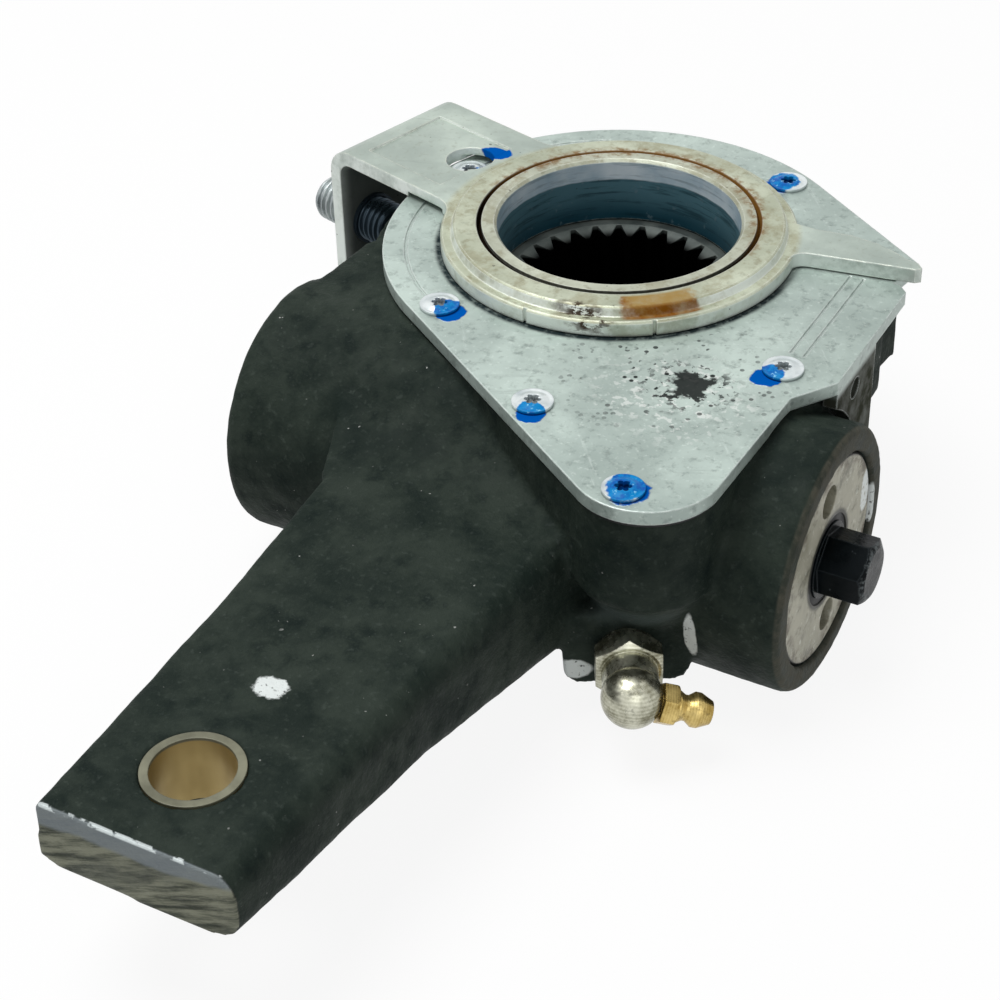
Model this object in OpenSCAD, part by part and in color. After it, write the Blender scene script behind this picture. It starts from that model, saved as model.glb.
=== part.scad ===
// Automatic brake slack adjuster with an external control arm.
// +Z is the camshaft axis, the lever points along -Y and the adjusting hexagon along +X.
// The origin is on the camshaft axis, at the height of the worm. All lengths are in millimetres.

/* [Lever] */
// Camshaft axis to clevis pin axis
arm_length = 150; // [140:1:165]
// Clevis pin axis to the sawn end face
arm_overhang = 17.4; // [15:0.1:22]
// Height of the lever's flat top face above the worm axis
arm_top = 13.8; // [12:0.1:15]
// Thickness of the lever at its sawn end
arm_t = 13.8; // [12:0.1:14.5]
// Half width of the lever at its sawn end
arm_end_half = 18.5; // [16:0.1:21]
// Half width of the lever where it leaves the worm barrel
arm_root_half = 26.7; // [24.4:0.1:28.4]
// Diameter of the clevis pin
pin_d = 14; // [12:0.1:15]
// Wall of the clevis bush
bush_wall = 1.5; // [1:0.1:2]

/* [Housing] */
// Distance from camshaft axis to worm axis
worm_offset = 40.5; // [40:0.1:41]
// Radius of the round case around the worm wheel
case_r = 49.2; // [48.5:0.1:52]
// Outer radius of the worm barrel, which also sets half the housing's height
barrel_r = 25.4; // [25:0.1:27]
// Radius of the worm barrel's bore
barrel_bore_r = 20.4; // [20:0.1:21]
// Closed end of the worm barrel, from the camshaft axis
barrel_closed = 52.3; // [51:0.1:58]
// Open end of the worm barrel, from the camshaft axis
barrel_open = 63; // [62:0.1:66]
// Wall at the closed end of the barrel
barrel_end_wall = 4.8; // [3:0.1:5]
// Radius of the concave blend between lever and barrel
arm_blend_r = 30; // [20:1:36]

/* [Worm gear] */
// Module of worm and worm wheel
gear_m = 2.5; // [2.4:0.05:2.55]
// Teeth on the worm wheel
wheel_teeth = 24; // [23:1:25]
// Face width of the worm wheel's toothed rim
wheel_face = 20; // [16:0.5:20]
// Outer radius of the worm wheel's hub
hub_r = 25; // [24.5:0.1:25.5]
// Height of the worm wheel's upper hub face
hub_top = 20; // [19:0.1:20.3]
// Length of the worm's thread
thread_len = 30; // [24:1:31]
// Teeth of the camshaft spline
spline_teeth = 28; // [24:1:32]
// Tip radius of the internal spline
spline_tip_r = 19; // [18:0.1:19.5]
// Root radius of the internal spline
spline_root_r = 21.9; // [21:0.1:22.3]
// Width across flats of the adjusting hexagon
hex_af = 11.2; // [10:0.1:12.5]
// Length of hexagon that stands out of the barrel
hex_out = 8.2; // [6:0.1:12]

/* [Control unit] */
// Inner radius of the control sleeve
sleeve_in_r = 23.9; // [23:0.1:24.5]
// Outer radius of the control sleeve
sleeve_out_r = 27.4; // [27:0.1:28]
// Height of the control sleeve's top face
sleeve_top = 34; // [33.5:0.1:36]
// Outer radius of the control disc
disc_r = 37.5; // [36:0.1:38]
// Thickness of the control disc
disc_t = 4; // [3:0.1:4.2]
// Outer radius of the control arm's ring
ring_r = 35; // [34.5:0.1:36]
// Outer radius of the ring's raised collar
collar_r = 33; // [31:0.1:33.5]
// Sheet thickness of the control arm
control_t = 3; // [2.5:0.1:3.2]
// Direction of the control arm's bracket, from +X
bracket_angle = 163.5; // [158:0.5:170]
// Camshaft axis to the outer face of the folded flange
flange_out = 67.2; // [65:0.1:72]
// Half width of the bracket
bracket_half = 15.4; // [14:0.1:17]
// Height of the flange's lower edge
flange_low = -2; // [-8:0.5:2]
// Diameter of the anchor stud
stud_d = 10; // [8:0.5:10]
// Length of stud that stands out of the flange
stud_out = 11.3; // [8:0.1:18]

/* [Cover] */
// Thickness of the gasket under the cover plate
gasket_t = 0.8; // [0.5:0.1:1.2]
// Thickness of the cover plate
plate_t = 2.7; // [2:0.1:3]
// Radius of the cover plate's round side
plate_r = 46.5; // [45.5:0.1:47.5]
// Direction of the cover plate's two straight sides, from +X
plate_angle = -35; // [-38:0.5:-33]
// Right edge of the cover plate
plate_right = 57; // [56:0.1:60]
// Lower right edge of the cover plate
plate_low_right = 50.7; // [50:0.1:52]
// Radius of the cover plate's lower lobe
lobe_r = 13.5; // [12.5:0.1:14]
// Centre of the lower lobe along the lever
lobe_y = -65; // [-67:0.5:-63]
// Radius of the circle that carries three of the cover screws
screw_circle_r = 41.5; // [41:0.1:42]
// Thread diameter of the cover screws
screw_d = 4; // [3.5:0.1:4.5]
// Head diameter of the cover screws
screw_head_d = 7.6; // [6.5:0.1:8.5]
// Depth of the tab folded down at the right edge
tab_drop = 26; // [18:0.5:28]

/* [Rack drive] */
// Module of rack and pinion
rack_m = 1.25; // [1.2:0.01:1.3]
// Teeth on the adjusting pinion
pinion_teeth = 18; // [17:1:19]
// Distance of the rack's drive pin from the camshaft axis
drive_r = 35; // [34.5:0.1:35.5]
// Centre of the rack across the housing
rack_x = 38.4; // [38:0.1:38.6]
// Width of the rack
rack_w = 8; // [7:0.1:8.2]

/* [Greasing] */
// Direction of the grease elbow, from -Y towards +X
grease_angle = 30; // [24:1:34]
// Height of the grease elbow's axis
grease_z = -10.4; // [-12:0.1:-9]
// Width across flats of the elbow's hexagon
elbow_af = 12; // [11:0.5:13]
// Radius of the elbow's ball
elbow_ball_r = 5.6; // [5:0.1:6]
// Tilt of the nipple below the horizontal
nipple_tilt = 17; // [10:1:30]

/* [Clearances] */
// Radial clearance of running fits
run_gap = 0.05; // [0.03:0.01:0.08]
// Clearance between parts that pass each other
pass_gap = 0.3; // [0.25:0.01:0.4]
// Backlash of the gears, measured along the pitch line
backlash = 0.5; // [0.4:0.05:0.7]
// Play of the drive pin in the control disc's notch
notch_play = 0.8; // [0.6:0.1:1]

/* [Hidden] */
$fn = 72;
eps = 0.01;
pressure_angle = 20;

// Height levels, from the housing's joint face upwards
joint_z = barrel_r;
plate_low = joint_z + gasket_t;
plate_top = plate_low + plate_t;
control_low = plate_top + pass_gap;
control_top = control_low + control_t;
disc_top = plate_low - pass_gap;
disc_low = disc_top - disc_t;
recess_z = disc_low - pass_gap;
recess_r = disc_r + 0.5;
sleeve_low = hub_top + pass_gap;

// Worm gear
wheel_pitch_r = gear_m * wheel_teeth / 2;
wheel_tip_r = wheel_pitch_r + gear_m;
worm_pitch_r = worm_offset - wheel_pitch_r;
worm_tip_r = worm_pitch_r + gear_m;
worm_root_r = worm_pitch_r - 1.25 * gear_m;
worm_lead = PI * gear_m;
lead_angle = atan(worm_lead / (2 * PI * worm_pitch_r));
cavity_r = wheel_tip_r + 0.7;
cavity_low = -wheel_face / 2 - 0.5;
hub_low = -barrel_r + 0.6;
hub_seal_r = hub_r + 3;
hub_seal_h = 4;

// Worm shaft stack along X
journal_r = 8;
shaft_front_r = 7.4;
tail_r = 6.8;
shaft_seal_r = 8.8;
seal_depth = 4;
spanner_at = 14;
spanner_hole_r = 3.2;
spanner_depth = 6;
bore_end = -barrel_closed + barrel_end_wall;
cover_front = barrel_open - 0.7;
race_t = 2.2;
ball_r = 1.75;
ball_count = 12;
ball_circle_r = 9.2;
race_r = ball_circle_r + 2;
stack_gap = 0.05;
race_x = -thread_len / 2 - 0.2;
ball_x = race_x - race_t - stack_gap - ball_r;
pressure_x = ball_x - ball_r - stack_gap;
pressure_neck_r = 13.5;
pressure_neck_t = 4.6;
pressure_t = pressure_neck_t + 2.8;
seat_t = 1.4;
seat_x = bore_end + stack_gap;
spring_wire_r = 2.2;
spring_mean_r = 15.5;
spring_from = seat_x + seat_t + spring_wire_r + stack_gap;
spring_to = pressure_x - pressure_t - spring_wire_r - stack_gap;
spring_turns = 2.5;
coupling_x = thread_len / 2 + 0.2;
coupling_t = 6;
coupling_r = 13;
coupling_neck_r = 11;
coupling_neck_t = 3.4;
coupling_teeth = 20;
crown_h = 1.2;
clutch_hub_x = coupling_x + coupling_t + stack_gap;
clutch_flange_t = 3.4;
clutch_r = 11.5;
clutch_hub_len = 7.8;
clutch_hub_end = clutch_hub_x + clutch_hub_len;

// Rack drive
pinion_pitch_r = rack_m * pinion_teeth / 2;
pinion_tip_r = pinion_pitch_r + rack_m;
pinion_from = rack_x - rack_w / 2 - 0.8;
pinion_to = rack_x + rack_w / 2 + 0.8;
pinion_boss_end = clutch_hub_end + stack_gap;
clutch_wire = 1.8;
washer_x = pinion_to + 1.8;
washer_t = 2;
cover_back = washer_x + washer_t + 2 * stack_gap;
channel_half = rack_w / 2 + pass_gap;
rack_pitch_z = pinion_pitch_r;
rack_root_z = rack_pitch_z + 1.25 * rack_m;
rack_low_top = disc_low - 0.4;
rack_high_top = plate_low - pass_gap;
rack_step_y = -29;
rack_end_y = -58;
rack_top_y = 5;
rack_up = 12;
rack_down = 4.5;
drive_pin_r = 3;
drive_wing = 4;
channel_end_y = lobe_y - 4.5;
channel_z = rack_pitch_z - rack_m - 0.8;
rack_spring_z = (rack_root_z + rack_high_top) / 2;
rack_spring_r = 2.8;
rack_wire_r = 0.6;
rack_spring_turns = 5;

// Cover outline
lobe_x = plate_low_right - lobe_r;
tab_t = plate_t;
tab_from_y = -27;
tab_to_y = -8;
tab_hole_y = -17.8;
tab_hole_r = 2.1;
screw_head_h = 1;
screw_len = 7.5;
seal_r = sleeve_out_r + 2.7;
plate_screws = [
    screw_circle_r * [cos(59.7), sin(59.7)],
    screw_circle_r * [cos(164), sin(164)],
    screw_circle_r * [cos(241.6), sin(241.6)],
    [11.1, -57.4],
    [lobe_x - 0.4, lobe_y - 8.4],
    [46.6, -27.9]
];

// Control arm
bend_r = 6;
bracket_hole_r = 5;
relief_half = screw_head_d / 2 + 0.9;
bracket_shift = 0.7;
head_relief = screw_head_h;
rim_marks = [-94, -53];
rim_mark_w = 0.7;
stud_t = 8;
stud_z = 12.8;
stud_in = 7;
washer_r = stud_d / 2 + 0.6;
anchor_washer_t = 1;

// Greasing
pad_w = 23;
pad_h = 16;
pad_in = 16;
pad_up = 0.7;
pad_seat = [lobe_x - 1.3, lobe_y - 4.1, grease_z];
grease_thread_r = 4;
grease_thread_len = 9;
elbow_reach = 12.4;
nipple_af = 7;
nipple_thread_r = 2.5;
nipple_base = sqrt(elbow_ball_r * elbow_ball_r - nipple_thread_r * nipple_thread_r) + stack_gap;

// Points on a circle, from one angle to another
function arc(c, r, from, to, n = 8) = [
    for (i = [0:n]) let (a = from + (to - from) * i / n) c + r * [cos(a), sin(a)]
];

// Involute of the pressure angle, in degrees
function involute(a) = tan(a) * 180 / PI - a;

// Half the angle of a tooth gap at radius r, for a gear of pitch radius rp with n teeth
function gap_half(r, rp, n) =
    let (rb = rp * cos(pressure_angle))
    90 / n - involute(pressure_angle) + involute(acos(rb / max(r, rb + eps)))
    + backlash / 4 / rp * 180 / PI;

// One side of a tooth gap, from the root circle to just past the tip circle
function gap_side(rp, n, m, sign) = [
    for (i = [0:6])
        let (r = rp - 1.25 * m + (2.45 * m + 0.3) * i / 6, a = sign * gap_half(r, rp, n)) r * [cos(a), sin(a)]
];

function reversed(list) = [for (i = [len(list) - 1:-1:0]) list[i]];

function turned(points, a) = [
    for (p = points) [p[0] * cos(a) - p[1] * sin(a), p[0] * sin(a) + p[1] * cos(a)]
];

function rounded_rect(w, h, r) = concat(
    arc([w / 2 - r, h / 2 - r], r, 0, 90, 5),
    arc([r - w / 2, h / 2 - r], r, 90, 180, 5),
    arc([r - w / 2, r - h / 2], r, 180, 270, 5),
    arc([w / 2 - r, r - h / 2], r, 270, 360, 5)
);

// Concave arc of radius r from the ring to an edge that runs along X at y = t0, above it
function root_arc(t0, r) =
    let (far = ring_r - 0.3 + r, s = sqrt(far * far - (t0 + r) * (t0 + r)))
    arc([s, t0 + r], r, 180 + atan2(t0 + r, s), 270, 7);

function mirrored(points) = [for (p = points) [p[0], -p[1]]];

// Corners of the cover's outline, moved inwards by e, with its right edge at x = right
function cover_corners(e, right) =
    let (n = [sin(plate_angle), -cos(plate_angle)], r = plate_r - e, lobe = [lobe_x, lobe_y])
    let (far = -r * n, d = [cos(plate_angle), sin(plate_angle)], corner_x = right - 1.8)
    [
        r * n,
        lobe + (lobe_r - e) * n,
        [lobe_x, lobe_y],
        [plate_low_right - e, lobe_y],
        [plate_low_right + 0.6 - e, -35.5 + e],
        [right, -27.2 + e],
        [right, 7 - e],
        [right - 2, 9 - e],
        [right - 3.2, 9.2 - e],
        [corner_x, (far + d * (corner_x - far[0]) / d[0])[1]],
        far
    ];

module along_worm(x = 0) {
    translate([x, -worm_offset, 0]) rotate([0, 90, 0]) children();
}

module ring(r_out, r_in, h) {
    difference() {
        cylinder(r = r_out, h = h);
        translate([0, 0, -1]) cylinder(r = r_in, h = h + 2);
    }
}

// Faces of a tube of rings, each with n points, from ring 0 to ring count
function tube_faces(n, count) = concat(
    [[for (j = [n - 1:-1:0]) j]],
    [
        for (i = [0:count - 1], j = [0:n - 1]) let (k = (j + 1) % n)
            [i * n + j, (i + 1) * n + k, (i + 1) * n + j]
    ],
    [for (i = [0:count - 1], j = [0:n - 1]) let (k = (j + 1) % n) [i * n + j, i * n + k, (i + 1) * n + k]],
    [[for (j = [0:n - 1]) count * n + j]]
);

// Section of [radius, height] points wound along +Z, where each turn starts at the angle first
module wound(section, pitch, turns, steps, first) {
    count = ceil(turns * steps);
    points = [
        for (i = [0:count]) let (s = turns * i / count, a = first + 360 * s)
            for (p = section) [p[0] * cos(a), p[0] * sin(a), p[1] + pitch * s]
    ];
    polyhedron(points, tube_faces(len(section), count), convexity = 10);
}

// Wire wound into a helix along +Z, starting at the origin's height
module coil(mean_r, wire_r, pitch, turns, sides, steps) {
    section = [
        for (j = [0:sides - 1]) let (b = 360 * (j + 0.5) / sides) [mean_r + wire_r * cos(b), wire_r * sin(b)]
    ];
    wound(section, pitch, turns, steps, 0);
}

// Right-handed thread along +Z, in mesh with the wheel on its +Y side
module worm_thread() {
    inner_r = worm_root_r - 0.7;
    function half(r) = PI * gear_m / 4 - backlash / 4 - (r - worm_pitch_r) * tan(pressure_angle);
    section = [
        [inner_r, -half(inner_r)], [worm_tip_r, -half(worm_tip_r)],
        [worm_tip_r, half(worm_tip_r)], [inner_r, half(inner_r)]
    ];
    turns = (thread_len - 2 * half(inner_r) - 0.4) / worm_lead;
    translate([0, 0, -turns * worm_lead / 2]) wound(section, worm_lead, turns, 24, 90 - 180 * turns);
}

// Outline of the cover: round side, two straight sides and the lower lobe
module cover_outline(e, right, h) {
    union() {
        cylinder(r = plate_r - e, h = h);
        linear_extrude(h) polygon(cover_corners(e, right));
        translate([lobe_x, lobe_y, 0]) cylinder(r = lobe_r - e, h = h);
    }
}

module at_cover_screws(z) {
    for (p = plate_screws) translate([p[0], p[1], z]) children();
}

// Frame of the grease elbow: +Z points out of the pad
module at_grease_pad() {
    translate(pad_seat) rotate([90, 0, grease_angle]) children();
}

// Frame of the grease nipple: +Z points out of the elbow's ball
module at_nipple() {
    at_grease_pad() translate([0, 0, elbow_reach]) rotate([0, 90, 0]) rotate([nipple_tilt, 0, 0]) children();
}

// Cross-section of the lever at one station, as a thin slice
module arm_slice(y, left, right, low) {
    round_r = 5;
    side = [
        [-left + 1.6, arm_top], [-left + 0.7, arm_top - 1.4], [-left, low + 2], [-left + 3, low + 0.7], [0, low]
    ];
    corner = arc([right + 0.6 - round_r, low + round_r], round_r, -90, 0, 5);
    top = arc([right + 0.6 - round_r, arm_top - round_r], round_r, 0, 70, 5);
    translate([0, y, 0]) rotate([90, 0, 0]) linear_extrude(0.1) polygon(concat(side, corner, top));
}

module lever() {
    end_y = -arm_length - arm_overhang + 0.1;
    end_low = arm_top - arm_t;
    waist_y = -115;
    waist_low = end_low - 5;
    root_y = -58;
    hull() {
        arm_slice(end_y, arm_end_half, arm_end_half, end_low);
        arm_slice(waist_y, arm_end_half + 1.8, arm_end_half + 3, waist_low);
    }
    hull() {
        arm_slice(waist_y, arm_end_half + 1.8, arm_end_half + 3, waist_low);
        arm_slice(root_y, arm_root_half - 1.8, arm_root_half, end_low - 14.2);
    }
}

// Concave blend between the lever's top face and the barrel
module lever_blend() {
    reach = barrel_r + arm_blend_r;
    up = arm_top + arm_blend_r - 0.06;
    back = sqrt(reach * reach - up * up);
    touch = barrel_r / reach;
    low = -8;
    front_y = -worm_offset - back;
    root_y = -worm_offset - back * touch;
    front_half = arm_root_half - 3;
    plan = [
        [-front_half, front_y], [-arm_root_half - 4.1, root_y + 2], [-arm_root_half - 4.1, -worm_offset],
        [arm_root_half + 1.6, -worm_offset], [arm_root_half + 1.6, root_y - 8], [front_half, front_y]
    ];
    intersection() {
        translate([-50, 0, 0]) rotate([90, 0, 90]) linear_extrude(100) difference() {
            polygon([
                [front_y, low], [front_y, arm_top], [root_y, up * touch], [-worm_offset, up * touch],
                [-worm_offset, low]
            ]);
            translate([front_y, up]) circle(r = arm_blend_r);
        }
        translate([0, 0, -20]) linear_extrude(60) polygon(plan);
    }
}

// Sloping web between the case's rim and the closed end of the barrel
module case_web() {
    rim = [(case_r + 1) * [cos(199), sin(199)], (case_r + 2.8) * [cos(226), sin(226)]];
    hull() {
        translate([0, 0, joint_z - 0.4]) linear_extrude(0.4) polygon([rim[0], rim[1], [-20, -38], [-30, -10]]);
        along_worm(2.5 - barrel_closed) cylinder(r = barrel_r - 0.7, h = 2, $fn = 48);
    }
}

module barrel() {
    edge = 1.8;
    along_worm() rotate_extrude() polygon(concat(
        [[0, -barrel_closed]],
        arc([barrel_r - edge, -barrel_closed + edge], edge, -90, 0, 5),
        [[barrel_r, barrel_open - 1], [barrel_r - 1, barrel_open], [0, barrel_open]]
    ));
}

// Round case, flared towards the barrel so that the two blend
module round_case() {
    edge = 3.5;
    rotate_extrude() polygon(concat(
        [[0, -barrel_r]],
        arc([case_r - 4 - edge, -barrel_r + edge], edge, -90, 0, 5),
        [[case_r, joint_z - 10], [case_r, joint_z], [0, joint_z]]
    ));
}

module housing_body() {
    pad_low = 6;
    round_case();
    barrel();
    lever();
    lever_blend();
    case_web();
    translate([0, 0, pad_low]) cover_outline(0.8, plate_right - tab_t - 0.6, joint_z - pad_low);
    hull() {
        translate([lobe_x, lobe_y, 8]) cylinder(r = lobe_r - 1.2, h = joint_z - 9, $fn = 32);
        translate([lobe_x - 3, lobe_y + 9, -8]) cylinder(r = lobe_r - 3, h = 4, $fn = 32);
    }
    at_grease_pad() translate([0, pad_up, -pad_in]) linear_extrude(pad_in) polygon(rounded_rect(pad_w, pad_h, 3));
}

module housing() {
    color("#383c3a") difference() {
        housing_body();
        along_worm(bore_end) cylinder(r = barrel_bore_r, h = barrel_open - bore_end + 1);
        translate([0, 0, cavity_low]) cylinder(r = cavity_r, h = 60);
        translate([0, 0, recess_z]) cylinder(r = recess_r, h = 60);
        translate([0, 0, -60]) cylinder(r = hub_r + run_gap, h = 80);
        translate([0, 0, -barrel_r - 1]) cylinder(r = hub_seal_r + stack_gap, h = hub_seal_h + 1.4);
        translate([rack_x - channel_half, channel_end_y, channel_z])
            cube([2 * channel_half, rack_top_y + rack_up + 1 - channel_end_y, 60]);
        translate([drive_r - drive_pin_r - 0.8, -drive_wing - rack_down - 0.5, rack_root_z - pass_gap])
            cube([10, 2 * drive_wing + rack_up + rack_down + 1, 60]);
        translate([0, -arm_length, -60]) cylinder(d = pin_d + 2 * bush_wall, h = 120);
        at_cover_screws(joint_z - (screw_len - plate_t - gasket_t) - 0.4) cylinder(d = screw_d, h = 20);
        at_grease_pad() translate([0, 0, -grease_thread_len - 0.5]) cylinder(r = grease_thread_r, h = 30);
    }
}

module clevis_bush() {
    color("#b59a62") translate([0, -arm_length, arm_top - arm_t + 0.5]) difference() {
        cylinder(d = pin_d + 2 * bush_wall - 2 * eps, h = arm_t - 0.7);
        translate([0, 0, -1]) cylinder(d = pin_d, h = arm_t + 2);
    }
}

// Spline hole: triangular teeth between two circles
module spline_hole() {
    step = 360 / spline_teeth;
    root_half = step * 0.1;
    tip_half = step * 0.42;
    points = [
        for (i = [0:spline_teeth - 1], a = [-tip_half, -root_half, root_half, tip_half])
            (abs(a) == root_half ? spline_root_r : spline_tip_r) * [cos(step * i + a), sin(step * i + a)]
    ];
    translate([0, 0, -60]) linear_extrude(120) polygon(points);
}

module worm_wheel() {
    half = wheel_face / 2;
    gap = concat(
        gap_side(wheel_pitch_r, wheel_teeth, gear_m, 1),
        reversed(gap_side(wheel_pitch_r, wheel_teeth, gear_m, -1))
    );
    throat = 1.2;
    color("#6f7478") difference() {
        rotate_extrude() polygon([
            [spline_tip_r - 2, hub_low], [hub_r - 1, hub_low], [hub_r, hub_low + 1], [hub_r, -half],
            [wheel_tip_r - throat, -half], [wheel_tip_r, -half + 4], [wheel_tip_r, half - 4],
            [wheel_tip_r - throat, half], [hub_r, half], [hub_r, hub_top - 0.6], [hub_r - 0.6, hub_top],
            [spline_tip_r - 2, hub_top]
        ]);
        spline_hole();
        translate([0, 0, hub_top - 1.2]) cylinder(r1 = spline_tip_r, r2 = spline_root_r + 0.4, h = 1.25);
        translate([0, 0, hub_low - 0.05]) cylinder(r1 = spline_root_r + 0.4, r2 = spline_tip_r, h = 1.25);
        for (i = [0:wheel_teeth - 1]) rotate(-90 + i * 360 / wheel_teeth)
            translate([wheel_pitch_r, 0, 0]) rotate([-lead_angle, 0, 0]) translate([-wheel_pitch_r, 0, 0])
                linear_extrude(2 * wheel_face, center = true) polygon(gap);
    }
}

module hub_seal() {
    color("#202224") translate([0, 0, -barrel_r + 0.2])
        ring(hub_seal_r, hub_r + run_gap, hub_seal_h);
}

module worm_shaft() {
    hex_r = hex_af / sqrt(3);
    hex_end = barrel_open + hex_out;
    hex_from = cover_front + 0.2;
    half = thread_len / 2;
    journal_end = cover_front - 5;
    color("#1c1e20") along_worm() union() {
        rotate_extrude() polygon([
            [0, pressure_x - pressure_t - 1], [tail_r, pressure_x - pressure_t - 1], [tail_r, -half],
            [worm_root_r, -half], [worm_root_r, half], [journal_r, half], [journal_r, journal_end],
            [shaft_front_r, journal_end], [shaft_front_r, hex_from], [0, hex_from]
        ]);
        worm_thread();
        intersection() {
            translate([0, 0, hex_from - 1]) rotate(12) cylinder(r = hex_r, h = hex_end - hex_from + 1, $fn = 6);
            rotate_extrude() polygon([
                [0, hex_from - 2], [hex_r + 1, hex_from - 2], [hex_r + 1, hex_end - 1.6],
                [hex_r - 1.6, hex_end], [0, hex_end]
            ]);
        }
    }
}

module thrust_race() {
    color("#9ea3a6") along_worm(race_x - race_t) ring(race_r, tail_r + run_gap, race_t);
}

module thrust_balls() {
    color("#c9ccce") along_worm(ball_x) for (i = [0:ball_count - 1])
        rotate(i * 360 / ball_count) translate([ball_circle_r, 0, 0]) sphere(r = ball_r);
}

module pressure_plate() {
    color("#8a8f92") along_worm(pressure_x - pressure_t) union() {
        ring(barrel_bore_r - 0.4, tail_r + run_gap, pressure_t - pressure_neck_t);
        ring(pressure_neck_r, tail_r + run_gap, pressure_t);
    }
}

module main_spring() {
    color("#4c5053") along_worm(spring_from)
        coil(spring_mean_r, spring_wire_r, (spring_to - spring_from) / spring_turns, spring_turns, 8, 20);
}

module spring_seat() {
    color("#8a8f92") along_worm(seat_x) ring(barrel_bore_r - 0.4, 8, seat_t);
}

// Ring of radial crown teeth on top of the origin plane
module crown_teeth(r_out, r_in, phase) {
    step = 360 / coupling_teeth;
    root = 0.28 * r_out * sin(step);
    tip = 0.16 * r_out * sin(step);
    difference() {
        for (i = [0:coupling_teeth - 1]) rotate(step * i + phase)
            rotate([90, 0, 90]) linear_extrude(r_out)
                polygon([[-root, -0.5], [root, -0.5], [tip, crown_h], [-tip, crown_h]]);
        translate([0, 0, -2]) cylinder(r = r_in, h = 6);
        translate([0, 0, -2]) ring(r_out * 2, r_out - 0.2, 6);
    }
}

module coupling_ring() {
    body_t = coupling_t - crown_h;
    color("#7d8286") along_worm(coupling_x) union() {
        ring(coupling_neck_r, journal_r + run_gap, body_t);
        translate([0, 0, coupling_neck_t]) ring(coupling_r, journal_r + run_gap, body_t - coupling_neck_t);
        translate([0, 0, body_t]) crown_teeth(coupling_r, 10.5, 0);
    }
}

module clutch_hub() {
    color("#85898c") along_worm(clutch_hub_x) union() {
        ring(coupling_r, journal_r + run_gap, clutch_flange_t);
        ring(clutch_r, journal_r + run_gap, clutch_hub_end - clutch_hub_x);
    }
}

module clutch_spring() {
    from = clutch_hub_x + clutch_flange_t + clutch_wire / 2 + 0.2;
    to = pinion_from - clutch_wire / 2 - 0.2;
    turns = floor((to - from) / (clutch_wire + 0.3));
    color("#5a5e61") along_worm(from)
        coil(clutch_r + 0.15 + clutch_wire / sqrt(2), clutch_wire / sqrt(2), (to - from) / turns, turns, 4, 18);
}

module adjusting_pinion() {
    tooth_gap = concat(
        gap_side(pinion_pitch_r, pinion_teeth, rack_m, 1),
        reversed(gap_side(pinion_pitch_r, pinion_teeth, rack_m, -1))
    );
    color("#94989b") along_worm() difference() {
        union() {
            translate([0, 0, pinion_boss_end]) cylinder(r = clutch_r, h = pinion_from - pinion_boss_end);
            translate([0, 0, pinion_from]) cylinder(r = pinion_tip_r, h = pinion_to - pinion_from);
            translate([0, 0, pinion_to]) cylinder(r = clutch_r - 1, h = washer_x - pinion_to - stack_gap);
        }
        translate([0, 0, pinion_boss_end - 1]) cylinder(r = journal_r + run_gap, h = 60);
        for (i = [0:pinion_teeth - 1]) rotate(180 + i * 360 / pinion_teeth)
            translate([0, 0, pinion_from - 1]) linear_extrude(pinion_to - pinion_from + 2) polygon(tooth_gap);
    }
}

module pinion_washer() {
    color("#9ea3a6") along_worm(washer_x) ring(barrel_bore_r - 0.4, journal_r + run_gap, washer_t);
}

module worm_cover() {
    color("#a5a493") along_worm() difference() {
        rotate_extrude() polygon([
            [journal_r + run_gap, cover_back], [barrel_bore_r - run_gap - 0.6, cover_back],
            [barrel_bore_r - run_gap, cover_back + 0.6], [barrel_bore_r - run_gap, cover_back + 2],
            [barrel_bore_r - 1.8, cover_back + 2], [barrel_bore_r - 1.8, cover_back + 4.4],
            [barrel_bore_r - run_gap, cover_back + 4.4], [barrel_bore_r - run_gap, cover_front - 0.6],
            [barrel_bore_r - run_gap - 0.6, cover_front], [journal_r + run_gap, cover_front]
        ]);
        translate([0, 0, cover_front - seal_depth]) cylinder(r = shaft_seal_r + stack_gap, h = seal_depth + 1);
        for (a = [6, 186]) rotate(a) translate([spanner_at, 0, cover_front - spanner_depth])
            cylinder(r = spanner_hole_r, h = spanner_depth + 1);
    }
}

module worm_cover_seal() {
    color("#17181a") along_worm(cover_back + 3.2) rotate_extrude()
        translate([barrel_bore_r - 0.95, 0]) circle(r = 0.85);
}

module shaft_seal() {
    color("#151618") along_worm(cover_front - seal_depth + stack_gap)
        ring(shaft_seal_r, shaft_front_r + run_gap, seal_depth - 0.3);
}

module rack() {
    pitch = PI * rack_m;
    half = pitch / 4 - backlash / 4;
    slope = tan(pressure_angle);
    low = rack_pitch_z - rack_m;
    centre = -worm_offset;
    below = floor((centre - rack_end_y - 1.5) / pitch);
    above = floor((rack_step_y - 1 - centre) / pitch);
    left = rack_x - rack_w / 2;
    color("#8d9194") union() {
        translate([left, rack_end_y, rack_root_z])
            cube([rack_w, rack_step_y - rack_end_y, rack_high_top - rack_root_z]);
        translate([left, rack_end_y, rack_root_z])
            cube([rack_w, rack_top_y - rack_end_y, rack_low_top - rack_root_z]);
        translate([drive_r - drive_pin_r - 0.4, -drive_wing, rack_root_z])
            cube([rack_w, 2 * drive_wing, rack_low_top - rack_root_z]);
        translate([drive_r, 0, rack_root_z]) cylinder(r = drive_pin_r, h = disc_top - 0.6 - rack_root_z);
        for (i = [-below:above]) translate([left, centre + i * pitch, 0])
            rotate([90, 0, 90]) linear_extrude(rack_w) polygon([
                [half - rack_m * slope, low], [half + 1.25 * rack_m * slope, rack_root_z + eps],
                [-half - 1.25 * rack_m * slope, rack_root_z + eps], [-half + rack_m * slope, low]
            ]);
    }
}

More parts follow.
